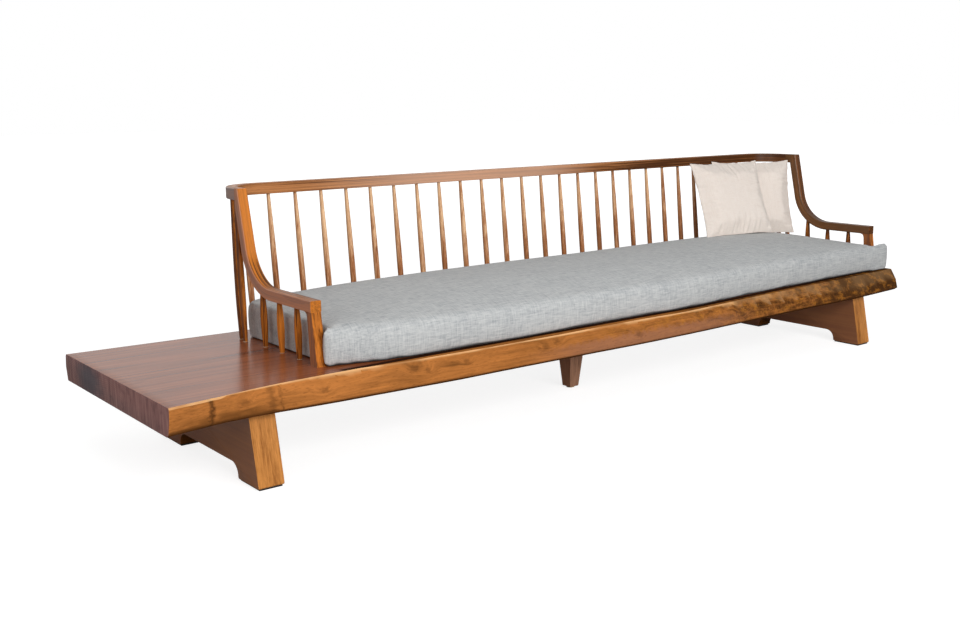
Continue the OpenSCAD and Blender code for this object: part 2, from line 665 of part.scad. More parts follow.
slab();
plank_leg(-1);  // left_plank_leg
plank_leg(1);  // right_plank_leg
centre_leg();
plank_leg_dowels();
leg_pads(-1);  // left_leg_pads
leg_pads(1);  // right_leg_pads
centre_leg_glide();
crest_rail();
arm(-1);  // left_arm
arm(1);  // right_arm
front_post(-1);  // left_front_post
front_post(1);  // right_front_post
crest_dowels();
armrest_dowels();
for (i = [1 : BACK_N])
    back_spindle(BACKS[i - 1]);
for (i = [1 : 2]) {
    back_spindle(BACKS[BACK_N + i - 1]);
    back_spindle(BACKS[BACK_N + i + 1]);
}
for (i = [1 : ARM_N]) {
    arm_spindle(ARMS[i - 1]);
    arm_spindle(ARMS[ARM_N + i - 1]);
}
seat_cushion();
front_pillow();
corner_pillow();
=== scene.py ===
"""A long live-edge slab sofa with a spindle back: its looks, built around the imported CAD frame."""

import math

import bmesh
import bpy
from mathutils import Matrix, Vector, noise


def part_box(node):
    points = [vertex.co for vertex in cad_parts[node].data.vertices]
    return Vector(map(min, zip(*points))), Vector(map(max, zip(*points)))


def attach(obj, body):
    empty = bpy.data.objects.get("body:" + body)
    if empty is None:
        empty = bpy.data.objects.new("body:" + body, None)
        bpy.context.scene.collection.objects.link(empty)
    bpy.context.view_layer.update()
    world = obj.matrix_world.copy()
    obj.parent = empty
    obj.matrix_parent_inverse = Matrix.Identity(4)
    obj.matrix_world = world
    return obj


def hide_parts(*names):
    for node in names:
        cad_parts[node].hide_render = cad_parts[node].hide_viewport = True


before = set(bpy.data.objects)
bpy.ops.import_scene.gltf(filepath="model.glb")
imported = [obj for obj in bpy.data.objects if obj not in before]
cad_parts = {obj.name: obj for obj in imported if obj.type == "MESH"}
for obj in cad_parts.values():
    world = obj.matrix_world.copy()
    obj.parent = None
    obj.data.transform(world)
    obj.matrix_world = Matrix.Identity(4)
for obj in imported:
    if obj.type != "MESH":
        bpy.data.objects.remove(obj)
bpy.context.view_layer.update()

bl_info = {
    "name": "Slab sofa",
    "version": (1, 0, 0),
    "blender": (4, 5, 0),
    "location": "3D View > Sidebar > Slab sofa",
    "description": "Dresses a live-edge slab sofa with its woods, its seat cushion and its pillows",
    "category": "Object",
}

# Places of the frame in metres, as the CAD has them: the slab's top, the level under which its
# legs are free of it, the front side of its live edge and the armrests' underside
DECK = 0.302
LEG_TOP = DECK - 0.0855
LIVE_EDGE = -0.37
ARMREST = 0.4625
# The middle of the seat, where the cushion starts, and how the slab's lip draws back past a point
SEAT_MID = 0.203
SEAT_START = -1.195
LIP_TURN = 0.35
LIP_SLOPE = 0.062
# The crest rail's rounded corners, and the bend of the arms with its middle and its turn
CORNER_X = 1.289
CORNER_Y = 0.253
CREST_R = 0.131
ARM_RISE_Z = 0.648
ARM_BEND_R = 0.1675
ARM_TURN = math.radians(77)
ARM_BEND_Y = {"left": 0.018, "right": -0.014}
# The pillows' size, and where each stands, how many degrees it is turned and how many it leans
PILLOW_SIZE = (0.404, 0.350, 0.096)
PILLOW_PLACES = {
    "corner": ((1.38559, 0.20882, 0.43753), -22, 14),
    "front": ((1.18656, 0.13697, 0.45741), -7, 22),
}

# Points closer than this are one, and faces that turn less than this are one flat face
MERGE = 0.00001
FLAT = math.radians(0.4)

# Knots on the slab's front edge: how far along it, how high and how big. They are drawn out
# along the grain.
KNOTS = [
    (-1.52, 0.272, 0.010), (-1.274, 0.262, 0.009), (-0.962, 0.279, 0.012),
    (-0.918, 0.266, 0.009), (-0.772, 0.275, 0.007), (-0.449, 0.270, 0.012),
    (-0.396, 0.283, 0.010), (-0.017, 0.256, 0.012), (0.310, 0.268, 0.010),
    (0.557, 0.254, 0.012), (0.905, 0.262, 0.011), (1.210, 0.258, 0.014),
]
KNOT_STRETCH = 1.7
# Dark checks across the front edge: how far along it, how wide and how deep
CHECKS = [
    (-1.622, 0.0120, 0.75), (-1.436, 0.0200, 0.40), (-1.408, 0.0080, 0.30), (0.705, 0.0090, 0.3),
]

# Colours of small marks and small pieces, as the levels of a screen. Some of them are painted
# light: a floor reflection, two shadows, an edge highlight, light on left faces and shade under the
# seat
MARKS = {
    "fleck": (192, 124, 48), "floor_reflection": (158, 110, 86), "shadow": (66, 38, 20),
    "dash": (84, 46, 20), "knot": (62, 36, 20), "patch": (88, 86, 94), "split": (40, 28, 26),
    "edge_highlight": (250, 198, 140), "cushion_shadow": (28, 18, 12), "dull leg": (168, 108, 74),
    "dull rail": (176, 150, 142), "dull left arm": (200, 142, 116),
    "dull right arm": (118, 80, 46), "dull spindle": (168, 108, 64),
    "dull corner": (88, 56, 40), "dull post": (130, 84, 62), "dowel": (214, 176, 128),
    "dowel, dark": (176, 134, 90), "rubber": (48, 42, 38), "rubber, dark": (26, 22, 20),
    "glide": (226, 208, 174), "glide, dark": (206, 186, 150), "pale_bead": (226, 196, 158),
    "pale_bead, dark": (150, 108, 70), "underside_shade": (38, 36, 36),
}

# The lamps: name, place, the point they face, size, and share of the key light's power
LAMPS = [
    ("key", (-0.9, -5.2, 2.5), (-0.1, 0.0, 0.4), (4.0, 2.6), 1.0),
    ("top", (-0.9, -0.6, 4.2), (-0.4, 0.0, 0.4), (4.0, 2.2), 0.07),
    ("left", (-5.2, -1.6, 2.0), (-1.2, 0.0, 0.4), (3.4, 2.6), 0.14),
    ("back", (0.6, 4.6, 2.6), (0.0, 0.0, 0.3), (4.0, 2.0), 0.10),
]
# The camera: its place, how far it turns, looks down and rolls, and its lens and sensor
EYE = (-2.828, -3.082, 1.092)
EYE_TURN, EYE_DOWN, EYE_ROLL = 0.664, 0.200, 0.007
LENS, SENSOR = 41.91, 36.0


def level(r, g, b):
    """The colour that a screen shows at these levels from 0 to 255, as Blender keeps it."""
    shares = [c / 255 for c in (r, g, b)]
    return tuple(c / 12.92 if c <= 0.04045 else ((c + 0.055) / 1.055) ** 2.4 for c in shares)


def mark(name):
    """The colour of a small mark or piece."""
    return level(*MARKS[name])


def colour(name, text, r, g, b):
    """A colour that a user can change."""
    return bpy.props.FloatVectorProperty(
        name=name, description=text, subtype="COLOR", size=3, min=0, max=1, default=level(r, g, b))


def length(name, text, default, low, high):
    """A length that a user can change."""
    return bpy.props.FloatProperty(
        name=name, description=text, subtype="DISTANCE", unit="LENGTH",
        default=default, min=low, max=high)


def share(name, text, default, low=0.0, high=1.0):
    """A plain number that a user can change."""
    return bpy.props.FloatProperty(name=name, description=text, default=default, min=low, max=high)


class SofaWood(bpy.types.PropertyGroup):
    """Colours of the woods and how far the live edge waves."""

    edge_light: colour("Edge, light", "Lightest sapwood of the slab's front edge", 192, 121, 61)
    edge_dark: colour("Edge, dark", "Darkest sapwood of the slab's front edge", 104, 64, 30)
    top_light: colour("Top, light", "Lightest heartwood of the slab's top", 172, 98, 58)
    top_dark: colour("Top, dark", "Darkest heartwood of the slab's top", 104, 54, 34)
    end_light: colour("End, light", "Lightest end grain", 188, 138, 130)
    end_dark: colour("End, dark", "Darkest end grain", 110, 78, 76)
    rail_light: colour("Rail, light", "Lightest wood of the crest rail", 196, 132, 82)
    rail_dark: colour("Rail, dark", "Darkest wood of the crest rail and arms", 100, 58, 26)
    back_light: colour("Spindle, light", "Lightest wood of the back spindles", 255, 214, 168)
    back_dark: colour("Spindle, dark", "Darkest wood of the back spindles", 170, 108, 66)
    turned_light: colour(
        "Turned, light", "Lightest wood of the arms, their spindles and posts", 216, 128, 46)
    turned_dark: colour(
        "Turned, dark", "Darkest wood of the arm spindles and posts", 110, 58, 18)
    leg_light: colour("Leg, light", "Lightest wood of the plank legs", 222, 150, 78)
    leg_dark: colour("Leg, dark", "Darkest wood of the plank legs", 132, 76, 28)
    stub_light: colour("Centre leg, light", "Lightest wood of the centre leg", 188, 140, 112)
    stub_dark: colour("Centre leg, dark", "Darkest wood of the centre leg", 112, 78, 60)
    # Painted shade of the plank legs' broad sides
    leg_side_shade: colour("Leg, side", "Broad sides of the plank legs", 144, 92, 66)
    # Painted highlight on the crest rail's middle
    rail_highlight: colour("Rail, middle", "Paler middle of the crest rail", 224, 178, 150)
    ripple: length("Edge ripple", "How far the front edge waves in and out", 0.0016, 0, 0.006)
    varnish: share("Varnish roughness", "Roughness of the varnish", 0.32)


class SofaCloth(bpy.types.PropertyGroup):
    """Colours and threads of the fabrics."""

    seat_light: colour("Seat, light", "Light threads of the seat cushion", 214, 215, 213)
    seat_dark: colour("Seat, dark", "Dark threads of the seat cushion", 150, 155, 160)
    pillow_light: colour("Pillow, light", "Light threads of the pillows", 255, 245, 236)
    pillow_dark: colour("Pillow, dark", "Dark threads of the pillows", 244, 229, 217)
    seat_thread: length(
        "Seat thread", "Width of one thread of the seat cushion", 0.0016, 0.0005, 0.004)
    pillow_thread: length(
        "Pillow thread", "Width of one thread of the pillows", 0.0010, 0.0005, 0.004)


class SofaRoom(bpy.types.PropertyGroup):
    """The plain studio."""

    floor: colour("Floor", "Colour of the floor", 176, 176, 176)
    key: share("Key light", "Power of the large front light in watts", 232.0, 0, 2000)
    fill: share("Fill", "Strength of the light from all round", 0.24, 0, 2)


class Value:
    """One number that varies over a surface. Python's signs on it add the Math nodes."""

    def __init__(self, tree, socket):
        self.tree = tree
        self.socket = socket

    def math(self, operation, *others):
        """A Math node on this value and the others."""
        node = self.tree.nodes.new("ShaderNodeMath")
        node.operation = operation
        for slot, other in zip(node.inputs, (self,) + others):
            if isinstance(other, Value):
                self.tree.links.new(other.socket, slot)
            else:
                slot.default_value = other
        return Value(self.tree, node.outputs[0])

    def __add__(self, other):
        return self.math("ADD", other)

    __radd__ = __add__

    def __sub__(self, other):
        return self.math("SUBTRACT", other)

    def __rsub__(self, other):
        return (self * -1.0) + other

    def __mul__(self, other):
        return self.math("MULTIPLY", other)

    __rmul__ = __mul__

    def __truediv__(self, other):
        return self.math("DIVIDE", other)

    def __pow__(self, other):
        return self.math("POWER", other)

    def __abs__(self):
        return self.math("ABSOLUTE")

    def limit(self):
        """Kept between 0 and 1."""
        return self.math("MINIMUM", 1.0).math("MAXIMUM", 0.0)

    def step(self, low, high):
        """0 below low and 1 above high, smooth in between. It falls if low is above high."""
        part = ((self - low) / (high - low)).limit()
        return part * part * (3.0 - 2.0 * part)


class Nodes:
    """A node tree and the one way in which nodes are added to it."""

    def __init__(self, tree):
        self.tree = tree

    def feed(self, slot, value):
        """Links or sets one input socket."""
        if isinstance(value, Value):
            self.tree.links.new(value.socket, slot)
        elif isinstance(value, (tuple, list)) and any(isinstance(part, Value) for part in value):
            joined = self.node("ShaderNodeCombineXYZ", inputs=dict(enumerate(value)))
            self.tree.links.new(joined.socket, slot)
        elif slot.type == "RGBA":
            slot.default_value = (*value, 1.0)
        else:
            slot.default_value = value

    def node(self, kind, settings=None, inputs=None, output=0):
        """Adds a node: its settings first, then the values or links of its sockets."""
        node = self.tree.nodes.new(kind)
        for key, value in (settings or {}).items():
            if key == "stops":
                ramp = node.color_ramp
                while len(ramp.elements) < len(value):
                    ramp.elements.new(1.0)
                for element, (at, tone) in zip(ramp.elements, value):
                    element.position = at
                    element.color = (*tone, 1.0)
            else:
                setattr(node, key, value)
        for key, value in (inputs or {}).items():
            self.feed(node.inputs[key], value)
        return Value(self.tree, node.outputs[output])

    def ray(self, kind):
        """1 where a ray of light is of this kind."""
        return self.node("ShaderNodeLightPath", output="Is " + kind + " Ray")


class Finish(Nodes):
    """A material and the nodes that paint it."""

    def __init__(self, name, **uniform):
        self.material = bpy.data.materials.new(name)
        self.material.use_nodes = True
        super().__init__(self.material.node_tree)
        self.shader = self.tree.nodes["Principled BSDF"]
        for key, value in uniform.items():
            self.shader.inputs[key.replace("_", " ")].default_value = value

    def parts(self, kind):
        """The three parts of one of the Texture Coordinate node's vectors."""
        whole = self.node("ShaderNodeTexCoord", output=kind)
        return [self.node("ShaderNodeSeparateXYZ", inputs={0: whole}, output=i) for i in range(3)]

    def place(self):
        """The three coordinates of a point on the object, in metres."""
        return self.parts("Object")

    def facing(self):
        """The three parts of the surface's own direction."""
        return self.parts("Normal")

    def noise(self, point, detail=2.0, roughness=0.5):
        """Soft noise from 0 to 1 at a point that is already scaled."""
        return self.node(
            "ShaderNodeTexNoise", {"noise_dimensions": "3D"},
            {"Vector": point, "Scale": 1.0, "Detail": detail, "Roughness": roughness})

    def ramp(self, value, *stops):
        """Colours along a value."""
        return self.node("ShaderNodeValToRGB", {"stops": stops}, {0: value})

    def mix(self, factor, a, b):
        """Two colours mixed."""
        return self.node(
            "ShaderNodeMix", {"data_type": "RGBA", "blend_type": "MIX"},
            {0: factor, 6: a, 7: b}, output=2)

    def paint(self, tone, roughness=None, height=None, depth=0.001, strength=1.0):
        """Sets what the shader shows."""
        self.feed(self.shader.inputs["Base Color"], tone)
        if roughness is not None:
            self.feed(self.shader.inputs["Roughness"], roughness)
        if height is not None:
            bump = self.node("ShaderNodeBump", inputs={
                "Height": height, "Distance": depth, "Strength": strength})
            self.feed(self.shader.inputs["Normal"], bump)
        return self.material


def blend(a, b, part):
    """The colour that lies that part of the way from a to b."""
    return tuple(x + (y - x) * part for x, y in zip(a, b))


def darkened(tone, part):
    """The colour that part of the way to black."""
    return blend(tone, (0.0, 0.0, 0.0), part)


def grain(finish, along, across, up, ring=0.011, pith=(0.02, -0.16), width=1.0, bold=1.0,
          lines=0.25):
    """How dark the wood is from 0 to 1, and its fibres and pores, for a piece whose grain runs
    along. ring is the width of a year's ring, pith the middle of the log, width that of the
    streaks, bold how strong they are and lines how strong the dark lines are."""
    def streaks(coarse, fine, detail=1.5, roughness=0.5):
        """Noise that is drawn out along the grain."""
        return finish.noise((along * coarse, across * fine, up * fine), detail, roughness)

    drift = streaks(1.3, 8) - 0.5
    radius = ((across - pith[0]) ** 2.0 + (up - pith[1]) ** 2.0) ** 0.5 + drift * 0.05
    ringed = (radius / ring).math("FRACT") ** 2.2
    streak = streaks(1.1, 64 / width, roughness=0.6) - 0.5
    cloud = streaks(2.2, 13) - 0.5
    thread = streaks(3.2, 230 / width) - 0.5
    line = streaks(1.2, 105 / width, detail=1, roughness=0.4).step(0.58, 0.80)
    fibre = streaks(11, 620, detail=2)
    pore = streaks(38, 900, detail=1).step(0.66, 0.78)
    dark = streak + cloud * 0.7 + thread * 0.7 + ringed * 0.16 + (fibre - 0.5) * 0.35
    return (dark * bold + line * lines + 0.38).limit(), fibre, pore


def varnished(name, light, dark, axes, rough, shade=None, side=None, rail_highlight=None, painted_left_light=None,
              painted_left_light_till=None, gloss=0.55, calm=0.0, foot=0.0, **shape):
    """A plain wood finish. axes turns a point's coordinates into along, across and up.
    shade is the coordinate along which painted shade darkens it, from where to where, and by how
    much. side is the painted shade of its broad sides and blush a painted highlight on its middle.
    dusk is how far painted light changes the faces towards the left and to which mark's colour,
    painted_left_light_till how far along the sofa that goes, and gloss how much varnish shows on
    them. calm is how far the grain fades on the piece's ends, and foot how much the piece darkens
    downward."""
    finish = Finish(name, Coat_Roughness=0.28, Specular_IOR_Level=0.08)
    point = x, y, z = finish.place()
    nx, ny = finish.facing()[:2]
    darkness, fibre, pore = grain(finish, *axes(finish, x, y, z), **shape)
    if calm:
        darkness = darkness * (1.0 - abs(ny).step(0.80, 0.95) * calm)
    # Painted shade along one coordinate
    if shade:
        axis, start, end, part = shade
        darkness = darkness + point[axis].step(start, end) * part
    if foot:
        darkness = darkness + z.step(0.70, 0.40) * foot
    tone = finish.ramp(
        darkness.limit(), (0.0, light), (0.45, blend(light, dark, 0.45)), (0.8, dark),
        (1.0, darkened(dark, 0.4)))
    tone = finish.mix(pore * 0.5, tone, darkened(dark, 0.5))
    # A painted highlight on the middle
    if rail_highlight is not None:
        tone = finish.mix(x.step(0.55, 0.15) * x.step(-0.95, -0.4) * 0.65, tone, rail_highlight)
    # Painted shade on the broad sides
    if side is not None:
        tone = finish.mix(abs(nx).step(0.5, 0.8) * 0.8, tone, side)
    left = (nx * -1.0).step(0.3, 0.8)
    # Painted light on the faces towards the left: painted shade on some pieces, a painted reflection
    # on others
    if painted_left_light:
        part, left_light = painted_left_light
        reach = left * part
        if painted_left_light_till is not None:
            reach = reach * x.step(painted_left_light_till, painted_left_light_till - 0.4)
        tone = finish.mix(reach, tone, mark(left_light))
    finish.feed(finish.shader.inputs["Coat Weight"], left * gloss + 0.05)
    return finish.paint(tone, fibre * 0.16 + (rough - 0.05), fibre - pore * 0.8, 0.0005, 0.35)


def plank_grain(finish, x, y, z):
    """Grain that runs from front to back on the broad sides and stands on the narrow ones."""
    narrow = abs(finish.facing()[1]).step(0.5, 0.8)
    return y, x, z * (1.0 - narrow * 0.88)


def upright_grain(finish, x, y, z):
    """Grain that stands."""
    return z, x, y


def crest_grain(finish, x, y, z):
    """Grain that follows the crest rail round its two corners."""
    side = x - SEAT_MID
    out = (abs(side) - CORNER_X).math("MAXIMUM", 0.0)
    deep = (y - CORNER_Y).math("MAXIMUM", 0.0)
    across = (out ** 2.0 + deep ** 2.0) ** 0.5 - CREST_R
    return x - y * side / (CORNER_X + CREST_R), across, z


def arm_grain(side):
    """Grain that follows an arm round its bend and up its sweep."""
    def axes(finish, x, y, z):
        back, rise = y - ARM_BEND_Y[side], z - ARM_RISE_Z
        run = (back * math.cos(ARM_TURN) + rise * math.sin(ARM_TURN)).math("MAXIMUM", 0.0)
        back = (back - run * math.cos(ARM_TURN)).math("MAXIMUM", 0.0)
        rise = rise - run * math.sin(ARM_TURN)
        across = (back ** 2.0 + rise ** 2.0) ** 0.5 - ARM_BEND_R
        return y + z, across, x
    return axes


def edge_wood(finish, wood, x, y, z, crinkle):
    """The live edge: golden sapwood with knots and checks, darker and burred to the right.
    Gives its colour, its fibres, the relief of all the wood and that of the edge alone."""
    swell = dirt = cracks = 0.0
    for at, high, size in KNOTS:
        along = (x - at) / KNOT_STRETCH
        near = ((along ** 2.0 + (z - high) ** 2.0) ** 0.5) / size
        swell = near.step(3.2, 0.2) * size * 1.3 + swell
        dirt = (near + crinkle * 2.2).step(1.3, 0.2) * 0.42 + dirt
    for at, wide, deep in CHECKS:
        lean = crinkle * 0.030 + (z - 0.26) * 0.10
        cracks = (abs(x - at + lean) / wide).step(1.0, 0.0) * deep + cracks

    bend = finish.noise((x * 5, z * 26, y * 6), detail=3) - 0.5
    dark, fibre, pore = grain(
        finish, x * 2.2, y + swell, z + swell * 1.2 + bend * 0.02, ring=0.012)
    blotch = finish.noise((x * 9, y * 9, z * 22), detail=3, roughness=0.6) - 0.5
    ends = x.step(-0.7, -1.3) * -0.14 + x.step(-0.2, 1.0) * 0.44 + x.step(1.0, 1.5) * 0.50
    burl = finish.noise((x * 30, y * 20, z * 52), detail=4, roughness=0.75) - 0.5
    speck = finish.noise((x * 90, y * 60, z * 150), detail=3, roughness=0.7) - 0.5
    burl = (burl * 1.2 + speck * 0.7) * (x.step(-0.4, 0.8) * 0.85 + 0.15)
    dark = (dark * 0.7 + blotch * 0.6 + burl + ends).limit()
    edge = finish.ramp(
        dark, (0.0, wood.edge_light), (0.4, blend(wood.edge_light, wood.edge_dark, 0.45)),
        (0.8, wood.edge_dark), (1.0, blend(wood.edge_dark, (0.02, 0.01, 0.005), 0.55)))

    fleck = finish.noise((x * 26, y * 20, z * 50), detail=4, roughness=0.72).step(0.48, 0.66)
    # A painted reflection of the floor on the lower middle of the edge, and a painted shadow on its
    # lowest strip
    middle = x.step(-0.6, -0.2) * x.step(0.7, 0.3)
    floor_reflection = middle * (z + crinkle * 0.03).step(0.276, 0.252)
    dash = finish.noise((x * 55, y * 420, z * 420), detail=1).step(0.60, 0.72)
    for factor, name in (
            (fleck * x.step(-0.5, 0.4) * 0.5, "fleck"), (floor_reflection * 0.6, "floor_reflection"),
            (z.step(0.233, 0.225) * 0.6, "shadow"), (dash * 0.35, "dash"),
            ((dirt + cracks).limit(), "knot")):
        edge = finish.mix(factor, edge, mark(name))
    return edge, fibre, fibre * 0.5 - pore * 0.6, swell * 60.0 + bend * 2.0 - cracks * 6.0


def top_wood(finish, wood, x, y, z):
    """The slab's top: red-brown heartwood with long streaks and stains."""
    dark = grain(finish, x, y, z, ring=0.016, pith=(0.05, -0.30), width=1.2, lines=0.5)[0]
    stain = finish.noise((x * 3, y * 16, 0.0), detail=3) - 0.5
    return finish.ramp(
        (dark + stain * 0.5).limit(), (0.0, wood.top_light),
        (0.5, blend(wood.top_light, wood.top_dark, 0.5)), (1.0, wood.top_dark))


def end_wood(finish, wood, x, y, z, crinkle):
    """The slab's ends: pale rings with rays, a grey patch and fine splits. Gives their colour
    and the splits."""
    wobble = finish.noise((y * 9, z * 9, x), detail=2) - 0.5
    ring = ((y - 0.05) ** 2.0 + (z + 0.25) ** 2.0) ** 0.5 + wobble * 0.03
    rays = finish.noise((y * 120, z * 9, x * 2), detail=3, roughness=0.65) - 0.5
    dark = ((ring / 0.007).math("FRACT") * 0.25 + rays * 1.5 + 0.4).limit()
    mottle = finish.noise((y * 22, z * 26, x), detail=3, roughness=0.6).step(0.50, 0.70)
    away = ((y - 0.20) ** 2.0 + ((z - 0.255) * 1.6) ** 2.0) ** 0.5
    patch = (away + crinkle * 0.05).step(0.15, 0.03)
    split = finish.noise((y * 70, z * 4, 3.0), detail=2, roughness=0.7).step(0.68, 0.74)
    end = finish.ramp(dark, (0.0, wood.end_light), (1.0, wood.end_dark))
    end = finish.mix(mottle * 0.5, end, wood.end_dark)
    end = finish.mix(patch * 0.8, end, mark("patch"))
    return finish.mix(split * 0.6, end, mark("split")), split


def slab_finish(wood):
    """The slab: golden sapwood on the live edge, red-brown heartwood on top, and end grain."""
    finish = Finish("slab_wood", Coat_Roughness=0.24, Specular_IOR_Level=0.0)
    x, y, z = finish.place()
    nx, ny, nz = finish.facing()
    crinkle = finish.noise((x * 60, y * 20, z * 90), detail=3) - 0.5
    edge, fibre, relief, edge_relief = edge_wood(finish, wood, x, y, z, crinkle)
    top = top_wood(finish, wood, x, y, z)
    end, split = end_wood(finish, wood, x, y, z, crinkle)

    # A painted highlight runs pale, in patches, where the edge turns to the top and to the left end
    rub = finish.noise((x * 8, y, z), detail=2).step(0.35, 0.6)
    upper = nz.step(0.54, 0.68) * (rub * 0.7 + 0.3)
    highlight_reach = (ny * -1.0).step(0.40, 0.62) * (upper + (nx * -1.0).step(0.35, 0.60))
    edge = finish.mix(highlight_reach.limit() * (x.step(1.2, 0.3) * 0.6 + 0.15), edge, mark("edge_highlight"))
    # Painted shade darkens the faces that turn down
    below = (nz * -1.0).step(0.25, 0.5)
    edge = finish.mix(below * 0.6, edge, wood.edge_dark)

    # The top's lip before the cushion is sapwood too, with a painted shadow of the cushion close
    # behind it
    beside = x.step(SEAT_START - 0.01, SEAT_START + 0.01)
    inward = y - (x.math("MAXIMUM", LIP_TURN) - LIP_TURN) * LIP_SLOPE
    front = (x.step(1.1, 1.5) * 0.35 - ny).step(0.52, 0.60).math("MAXIMUM", below)
    front = front.math("MAXIMUM", inward.step(-0.346, -0.353) * beside)
    cushion_shadow = inward.step(-0.357, -0.349) * inward.step(-0.318, -0.330) * beside
    top = finish.mix(cushion_shadow * 0.9, top, mark("cushion_shadow"))

    ended = abs(nx).step(0.72, 0.90)
    tone = finish.mix(ended, finish.mix(front, top, edge), end)
    coat = (1.0 - front) * (1.0 - ended * 0.6) * (1.0 - cushion_shadow * 0.95) * 0.84 + 0.02
    finish.feed(finish.shader.inputs["Coat Weight"], coat)
    rough = fibre * 0.14 + (wood.varnish - 0.04) + ended * 0.12 + front * 0.10
    height = relief + front * edge_relief - split * ended * 2.0
    return finish.paint(tone, rough, height, 0.0006, 0.5)


def woven(name, light, dark, thread, sheen, slub=1.0, under=None):
    """A woven cloth whose threads run along the sofa and across it. slub is how uneven the threads
    are, and under the painted shade of the sides that face down."""
    finish = Finish(name, Roughness=0.92, Sheen_Weight=sheen, Sheen_Roughness=0.45)
    x, y, z = finish.place()
    weft = finish.noise((x * 30, y * 330, z * 330), detail=2, roughness=0.6) - 0.5
    warp = finish.noise((x * 360, y * 28, z * 28), detail=2, roughness=0.6) - 0.5
    long_slub = finish.noise((x * 20, y * 150, z * 150), detail=3, roughness=0.7) - 0.5
    cross_slub = finish.noise((x * 170, y * 16, z * 16), detail=3, roughness=0.7) - 0.5
    cloud = finish.noise((x * 5, y * 5, z * 5), detail=2) - 0.5
    turns = math.tau * 0.5 / thread
    over = (x * turns).math("SINE") * ((y + z) * turns).math("SINE")
    shade = (weft + warp) * 0.9 + over * 0.12 + cloud * 0.2 + 0.5
    shade = (shade + (long_slub + cross_slub * 0.55) * slub).limit()
    tone = finish.ramp(shade, (0.0, dark), (0.5, blend(dark, light, 0.6)), (1.0, light))
    # Painted shade on the sides that face down
    if under is not None:
        below = (finish.facing()[2] * -1.0).step(0.30, 0.70)
        tone = finish.mix(below, tone, under)
    return finish.paint(tone, None, over * 0.5 + shade, 0.0007, 0.6)


def speckled(name, tone, scale, detail, spread, rough, depth, strength, **uniform):
    """A small piece's finish: fine specks between the dark and the plain colour of a mark."""
    finish = Finish(name, **uniform)
    speck = finish.noise([c * scale for c in finish.place()], detail=detail)
    colours = finish.ramp(
        speck, (0.5 - spread, mark(tone + ", dark")), (0.5 + spread, mark(tone)))
    return finish.paint(colours, speck * 0.2 + rough, speck, depth, strength)


def placed(name, data):
    """A new object in the scene."""
    thing = bpy.data.objects.new(name, data)
    bpy.context.scene.collection.objects.link(thing)
    return thing


def show(mesh, name, body, slot, material, *nodes):
    """Adds a finished mesh as a piece that rides on a body and stands for CAD nodes."""
    piece = placed(name, mesh)
    piece.data.materials.clear()
    piece.data.materials.append(material)
    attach(piece, body)
    if nodes:
        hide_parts(*nodes)
    return piece


def show_soft(mesh, name, body, slot, material, node):
    """Adds a filled piece with smooth and finer faces."""
    shape = bmesh.new()
    shape.from_mesh(mesh)
    bmesh.ops.recalc_face_normals(shape, faces=shape.faces)
    soften(shape, 180)
    piece = show(into_mesh(shape, name), name, body, slot, material, node)
    finer = piece.modifiers.new("finer", "SUBSURF")
    finer.levels = finer.render_levels = 1
    return piece


def dress(material, *nodes):
    """Gives CAD nodes their finish."""
    for node in nodes:
        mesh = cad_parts[node].data
        mesh.materials.clear()
        mesh.materials.append(material)


def nodes_named(part):
    """The CAD nodes whose names hold a part."""
    return [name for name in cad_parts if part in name]


def merged(node):
    """A bmesh of a CAD node with its loose triangles joined."""
    shape = bmesh.new()
    shape.from_mesh(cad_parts[node].data)
    bmesh.ops.remove_doubles(shape, verts=shape.verts, dist=MERGE)
    return shape


def flat_sided(node):
    """A bmesh of a CAD node whose flat sides are single faces."""
    shape = merged(node)
    bmesh.ops.dissolve_limit(shape, angle_limit=FLAT, verts=shape.verts, edges=shape.edges)
    return shape


def sharp_edges(shape, degrees):
    """The edges that turn more than the angle."""
    return [e for e in shape.edges
            if len(e.link_faces) == 2 and e.calc_face_angle(0.0) > math.radians(degrees)]


def rounded(shape, edges, by, segments):
    """Rounds edges by that much."""
    bmesh.ops.bevel(shape, geom=edges, offset=by, segments=segments, profile=0.5,
                    affect="EDGES", material=-1, clamp_overlap=True)


def eased(node, ease, outside, foot=0.0):
    """A copy of a CAD node whose sharp outer edges are rounded by that much, and its feet's
    lower edges from side to side by foot."""
    shape = flat_sided(node)
    if foot:
        sole = min(v.co.z for v in shape.verts)
        low = [e for e in shape.edges if max(v.co.z for v in e.verts) < sole + 0.0005
               and abs(e.verts[0].co.y - e.verts[1].co.y) < 0.0005]
        rounded(shape, low, foot, 5)
    outer = [e for e in sharp_edges(shape, 28) if all(outside(v.co) for v in e.verts)]
    rounded(shape, outer, ease, 3)
    soften(shape, 30)
    return shape


def soften(shape, angle):
    """Smooth shading, but for edges that turn more than the angle in degrees."""
    for face in shape.faces:
        face.smooth = True
    for edge in shape.edges:
        turn = edge.calc_face_angle(4.0)
        edge.smooth = len(edge.link_faces) == 2 and turn < math.radians(angle)


def axis_at(node, height):
    """Where a spindle's middle line crosses a height."""
    spots = [v.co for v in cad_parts[node].data.vertices]
    ends = []
    for end in (min(s.z for s in spots), max(s.z for s in spots)):
        ring = [s for s in spots if abs(s.z - end) < 0.012]
        ends.append(sum(ring, Vector()) / len(ring))
    return ends[0].lerp(ends[1], (height - ends[0].z) / (ends[1].z - ends[0].z))


def into_mesh(shape, name):
    """The bmesh as a mesh, and the bmesh freed."""
    mesh = bpy.data.meshes.new(name)
    shape.to_mesh(mesh)
    shape.free()
    return mesh


def evaluated(piece):
    """The piece's mesh with its modifiers applied. The piece is taken away."""
    bpy.context.view_layer.update()
    graph = bpy.context.evaluated_depsgraph_get()
    mesh = bpy.data.meshes.new_from_object(piece.evaluated_get(graph))
    bpy.data.objects.remove(piece)
    return mesh


